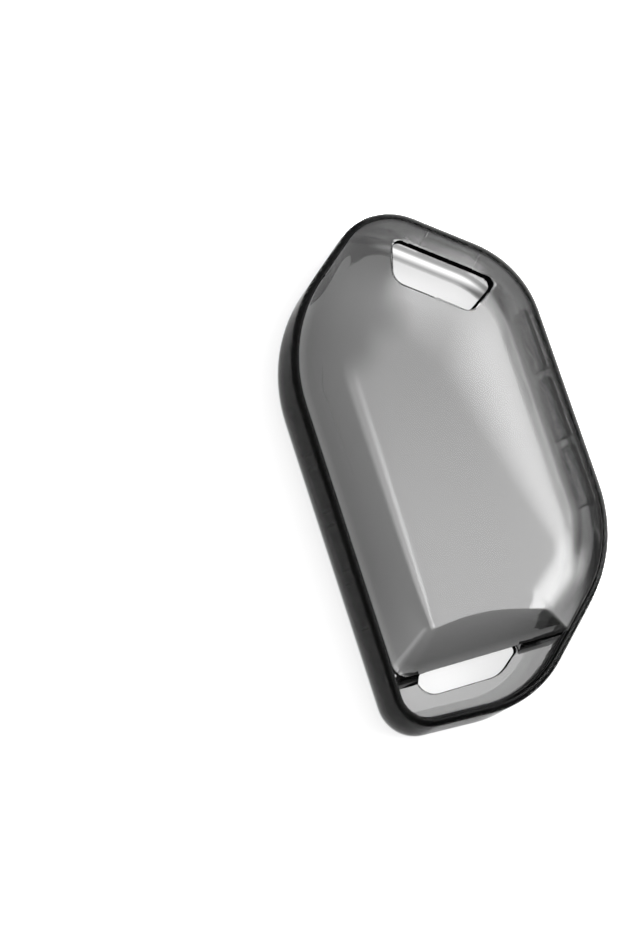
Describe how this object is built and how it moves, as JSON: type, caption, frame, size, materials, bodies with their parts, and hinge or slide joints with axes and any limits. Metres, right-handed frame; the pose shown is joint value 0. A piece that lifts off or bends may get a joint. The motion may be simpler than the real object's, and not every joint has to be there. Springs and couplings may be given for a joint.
{
  "type": "key fob cover",
  "caption": "Smoked clear slip-over cover for a car key fob, with a pillowed front panel, badge window, dark rim, side press keys and a key-ring slot at its lower end.",
  "frame": {"origin": "middle of the rear face, which the cover lies on", "axes": "+Z out of the front panel, +Y along the cover from the loop end to the roof end, +X to the right seen from the front"},
  "size_m": [0.048, 0.089, 0.0139],
  "materials": {
    "smoked_panel": "clear smoked grey polycarbonate, polished",
    "smoked_frame": "dark smoked clear thermoplastic polyurethane, glossy",
    "smoked_key": "dark smoked clear thermoplastic polyurethane, glossy"
  },
  "bodies": {
    "rear": {"rear_frame": "smoked_frame"},
    "case": {"front_panel": "smoked_panel", "side_frame": "smoked_frame"},
    "key_right_1": {"key_right_1": "smoked_key"},
    "key_right_2": {"key_right_2": "smoked_key"},
    "key_right_3": {"key_right_3": "smoked_key"},
    "key_left_1": {"key_left_1": "smoked_key"},
    "key_left_2": {"key_left_2": "smoked_key"},
    "key_left_3": {"key_left_3": "smoked_key"},
    "key_left_4": {"key_left_4": "smoked_key"},
    "key_top": {"key_top": "smoked_key"}
  },
  "joints": [
    {"name": "case_lift", "type": "slide", "parent": "rear", "child": "case", "axis": [0, 0, 1], "range_m": [0, 0.02]},
    {"name": "key_right_1_press", "type": "slide", "parent": "case", "child": "key_right_1", "axis": [-1, 0, 0], "range_m": [0, 0.0007], "stiffness_N_per_m": 1000},
    {"name": "key_right_2_press", "type": "slide", "parent": "case", "child": "key_right_2", "axis": [-1, 0, 0], "range_m": [0, 0.0007], "stiffness_N_per_m": 1000},
    {"name": "key_right_3_press", "type": "slide", "parent": "case", "child": "key_right_3", "axis": [-1, 0, 0], "range_m": [0, 0.0007], "stiffness_N_per_m": 1000},
    {"name": "key_left_1_press", "type": "slide", "parent": "case", "child": "key_left_1", "axis": [1, 0, 0], "range_m": [0, 0.0007], "stiffness_N_per_m": 1000},
    {"name": "key_left_2_press", "type": "slide", "parent": "case", "child": "key_left_2", "axis": [1, 0, 0], "range_m": [0, 0.0007], "stiffness_N_per_m": 1000},
    {"name": "key_left_3_press", "type": "slide", "parent": "case", "child": "key_left_3", "axis": [1, 0, 0], "range_m": [0, 0.0007], "stiffness_N_per_m": 1000},
    {"name": "key_left_4_press", "type": "slide", "parent": "case", "child": "key_left_4", "axis": [1, 0, 0], "range_m": [0, 0.0007], "stiffness_N_per_m": 1000},
    {"name": "key_top_press", "type": "slide", "parent": "case", "child": "key_top", "axis": [-0.5914, -0.8064, 0], "range_m": [0, 0.0007], "stiffness_N_per_m": 1000}
  ]
}
